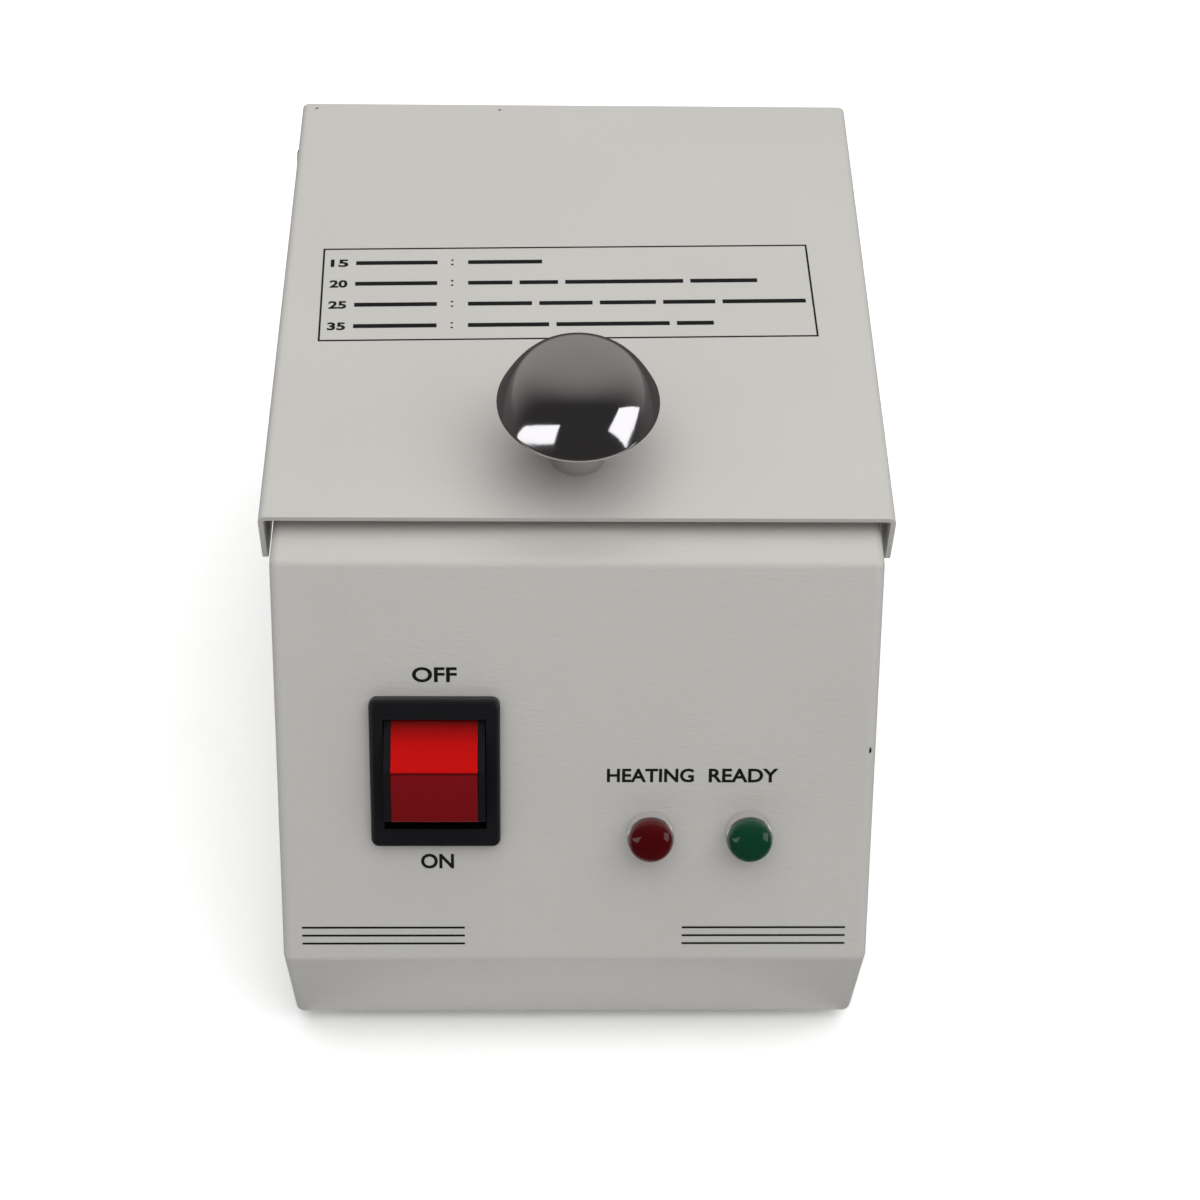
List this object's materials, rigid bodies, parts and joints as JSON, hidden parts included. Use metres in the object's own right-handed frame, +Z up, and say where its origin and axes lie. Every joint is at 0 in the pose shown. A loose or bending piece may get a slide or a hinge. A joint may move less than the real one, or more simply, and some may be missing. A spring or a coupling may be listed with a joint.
{
  "type": "glass bead sterilizer",
  "caption": "Bench sterilizer: folded steel console with a heated bead well under a hinged lid, a mushroom knob, a lighted rocker switch and two lamps.",
  "frame": {"origin": "on the bench, under the middle of the whole object's box", "axes": "+Z up, -Y towards the user's side with the sloped panel, +X to the right as seen from there"},
  "size_m": [0.1238, 0.1823, 0.1325],
  "materials": {
    "casing_paint": "grey-white powder coat with a fine ripple",
    "tray_steel": "powder-coated steel",
    "bright_zinc": "zinc-plated fasteners",
    "knob_chrome": "polished chrome plate",
    "well_steel": "turned stainless steel",
    "bead_glass": "clear soda-lime beads",
    "collar_ceramic": "unglazed steatite",
    "band_steel": "stainless band over mica",
    "fibre": "mineral-fibre felt",
    "can_aluminium": "spun aluminium",
    "phenolic": "dark phenolic moulding",
    "black_nylon": "black moulded nylon",
    "lens_red": "clear red polycarbonate",
    "lamp_red": "clear red acrylic",
    "lamp_green": "clear green acrylic",
    "lamp_chrome": "chrome plate",
    "bulb_glass": "clear bulb glass",
    "tinned_brass": "brass strip",
    "foot_rubber": "moulded black rubber",
    "bush_brass": "turned brass",
    "block_nylon": "natural nylon",
    "fuse_glass": "glass tube fuse"
  },
  "bodies": {
    "casing": {"casing_shell": "casing_paint", "base_tray": "tray_steel", "casing_screws": "bright_zinc", "foot_screws": "bright_zinc", "lid_bumper_left": "foot_rubber", "lid_bumper_right": "foot_rubber", "pivot_bush_left": "bush_brass", "pivot_bush_right": "bush_brass", "pivot_screw_left": "bright_zinc", "pivot_screw_right": "bright_zinc", "pivot_nuts": "bright_zinc", "bead_well": "well_steel", "glass_beads": "bead_glass", "well_collar": "collar_ceramic", "heater_band": "band_steel", "heater_clamp": "bright_zinc", "insulation_jacket": "fibre", "insulation_can": "can_aluminium", "well_screws": "bright_zinc", "well_nuts": "bright_zinc", "well_stud_nut": "bright_zinc", "thermostat": "phenolic", "thermostat_screws": "bright_zinc", "switch_housing": "black_nylon", "switch_tabs": "tinned_brass", "cord_grommet": "foot_rubber", "fuse_holder": "phenolic", "fuse_nut": "phenolic", "terminal_block": "block_nylon", "terminal_sleeves": "tinned_brass", "terminal_screws": "bright_zinc", "earth_stud": "bright_zinc", "foot_front_left": "foot_rubber", "foot_front_right": "foot_rubber", "foot_back_left": "foot_rubber", "foot_back_right": "foot_rubber", "lamp_collar_heating": "lamp_chrome", "lamp_lens_heating": "lamp_red", "lamp_nut_heating": "phenolic", "lamp_bulb_heating": "bulb_glass", "lamp_collar_ready": "lamp_chrome", "lamp_lens_ready": "lamp_green", "lamp_nut_ready": "phenolic", "lamp_bulb_ready": "bulb_glass"},
    "lid": {"lid": "casing_paint", "lid_knob": "knob_chrome", "knob_screw": "bright_zinc"},
    "rocker": {"switch_rocker": "black_nylon", "rocker_lens": "lens_red"},
    "fuse_carrier": {"fuse_cap": "phenolic", "fuse_link": "fuse_glass"}
  },
  "joints": [
    {"name": "lid_hinge", "type": "hinge", "parent": "casing", "child": "lid", "pos_m": [0, 0.0758, 0.0986], "axis": [-1, 0, 0], "range_deg": [0, 103]},
    {"name": "rocker_tilt", "type": "hinge", "parent": "casing", "child": "rocker", "pos_m": [-0.0275, -0.06746, 0.06606], "axis": [1, 0, 0], "range_deg": [0, 24]},
    {"name": "fuse_cap_turn", "type": "hinge", "parent": "casing", "child": "fuse_carrier", "pos_m": [0.032, 0.0811, 0.02], "axis": [0, 1, 0], "range_deg": [0, 90]}
  ]
}
